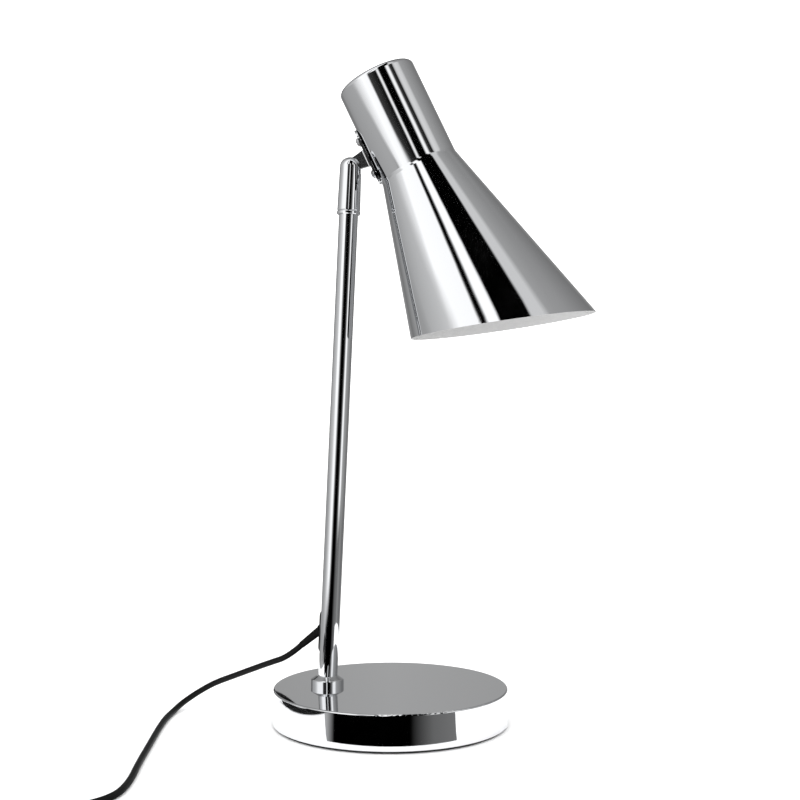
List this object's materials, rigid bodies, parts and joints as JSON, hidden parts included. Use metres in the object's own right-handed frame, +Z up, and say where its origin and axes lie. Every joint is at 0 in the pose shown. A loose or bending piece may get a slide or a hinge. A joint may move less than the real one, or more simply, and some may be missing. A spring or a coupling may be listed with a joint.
{
  "type": "swing arm desk lamp",
  "caption": "Chromed table lamp with a round weighted foot, a leaning stem and a conical shade on a swivel and tilt joint, with its mains cord, in-line switch and plug.",
  "frame": {"origin": "centre of the foot's underside, on the table", "axes": "+Z up; +X from the foot of the stem towards the side the shade leans to; +Y to the left of +X"},
  "size_m": [0.4828, 0.3087, 0.4526],
  "materials": {
    "chrome": "polished",
    "cast_weight": "rough, painted",
    "base_pad": "matt felt-like",
    "zinc": "zinc plated",
    "brass": "machined",
    "black_plastic": "fine matt",
    "switch_plastic": "semi-gloss",
    "cord_black": "flexible, satin",
    "nylon": "moulded",
    "fibre": "pressed fibre",
    "holder_white": "moulded",
    "bulb_metal": "satin",
    "bulb_glass": "opal"
  },
  "bodies": {
    "base": {"base_cover": "chrome", "base_weight": "cast_weight", "base_pad": "base_pad", "clamp_washer": "zinc", "clamp_nut": "zinc", "stem_nipple": "zinc", "stem_collar": "chrome", "stem_tube": "chrome", "cord_outlet": "black_plastic", "outlet_screw": "zinc", "strain_relief": "black_plastic", "stem_wire": "cord_black", "swivel_bush": "nylon", "cord_run": "cord_black", "cord_lead": "cord_black", "cord_tail": "cord_black", "cord_coil": "cord_black", "switch_lower": "switch_plastic", "switch_upper": "switch_plastic", "switch_screws": "zinc", "plug_body": "black_plastic", "plug_pins": "zinc"},
    "head": {"thrust_washer": "nylon", "retaining_ring": "zinc", "head_fork": "brass", "head_cap": "chrome", "pivot_pin": "zinc", "friction_washers": "fibre"},
    "shade_unit": {"shade": "chrome", "shade_bracket": "chrome", "bracket_screws": "chrome", "bracket_nuts": "zinc", "holder_strap": "zinc", "holder_nipple": "zinc", "holder_nut": "zinc", "lamp_holder": "holder_white", "holder_shell": "brass", "holder_contact": "brass", "bulb_cap": "bulb_metal", "bulb_globe": "bulb_glass", "shade_wire": "cord_black"},
    "rocker": {"switch_rocker": "switch_plastic"}
  },
  "joints": [
    {"name": "head_swivel", "type": "hinge", "parent": "base", "child": "head", "pos_m": [-0.02757, 0, 0.38143], "axis": [0.0454, 0, 0.999], "range_deg": [-165, 165]},
    {"name": "shade_tilt", "type": "hinge", "parent": "head", "child": "shade_unit", "pos_m": [-0.02757, 0, 0.38143], "axis": [0, -1, 0], "range_deg": [-15, 62]},
    {"name": "rocker_tip", "type": "hinge", "parent": "base", "child": "rocker", "pos_m": [-0.238, -0.216, 0.0115], "axis": [0, -1, 0], "range_deg": [-16, 0]}
  ]
}
